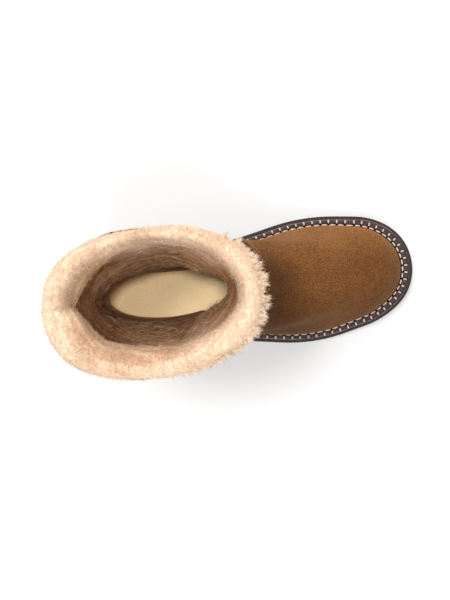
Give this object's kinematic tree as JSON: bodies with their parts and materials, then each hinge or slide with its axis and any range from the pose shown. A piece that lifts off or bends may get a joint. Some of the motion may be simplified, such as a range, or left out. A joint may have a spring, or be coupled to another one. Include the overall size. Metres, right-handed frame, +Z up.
{
  "type": "sheepskin boot",
  "caption": "Right-foot ankle boot of suede with a wool lining that rolls over the oval collar, a stitched welt and a thick dark grooved sole.",
  "frame": {"origin": "middle of the boot's bounding box, on the floor", "axes": "+X from the heel to the toe, +Y to the inner side of the foot, +Z up"},
  "size_m": [0.2744, 0.1036, 0.2413],
  "materials": {
    "sole_rubber": "satin dark brown",
    "welt_rubber": "satin dark brown, stitched in cream thread",
    "insole_wool": "pressed wool",
    "suede": "brushed suede outside, cream wool inside"
  },
  "bodies": {
    "root": {"outsole": "sole_rubber", "welt": "welt_rubber", "insole": "insole_wool", "upper": "suede"}
  },
  "joints": []
}
